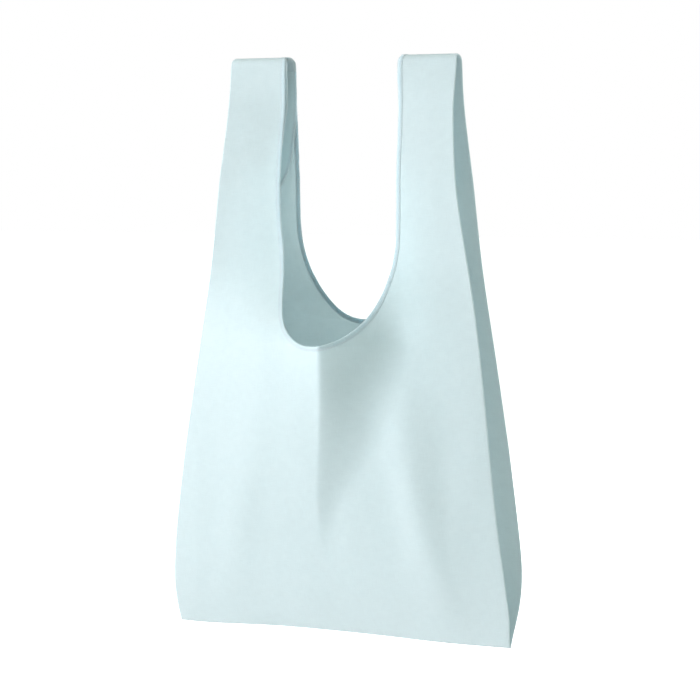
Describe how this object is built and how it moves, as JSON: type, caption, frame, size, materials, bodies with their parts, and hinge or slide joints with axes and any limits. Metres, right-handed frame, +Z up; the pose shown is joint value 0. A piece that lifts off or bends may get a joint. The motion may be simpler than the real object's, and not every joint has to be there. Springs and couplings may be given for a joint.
{
  "type": "cotton shopping bag",
  "caption": "Foldable cotton carrier bag of the vest shape with deep round mouth, doubled handles and inward folded sides, hanging empty by its handles.",
  "frame": {"origin": "on the line that a straight hanger touches under both handle crowns, midway between the two handles", "axes": "+X across the front to the viewer's right, +Y from front to back, +Z up; the bag hangs down from z = 0 to about z = -0.598"},
  "size_m": [0.3888, 0.1373, 0.6001],
  "materials": {
    "cotton_front": "plain woven pale blue cotton, matt",
    "cotton_back": "plain woven pale blue cotton, matt"
  },
  "bodies": {
    "root": {"front_panel": "cotton_front", "back_panel": "cotton_back"}
  },
  "joints": []
}
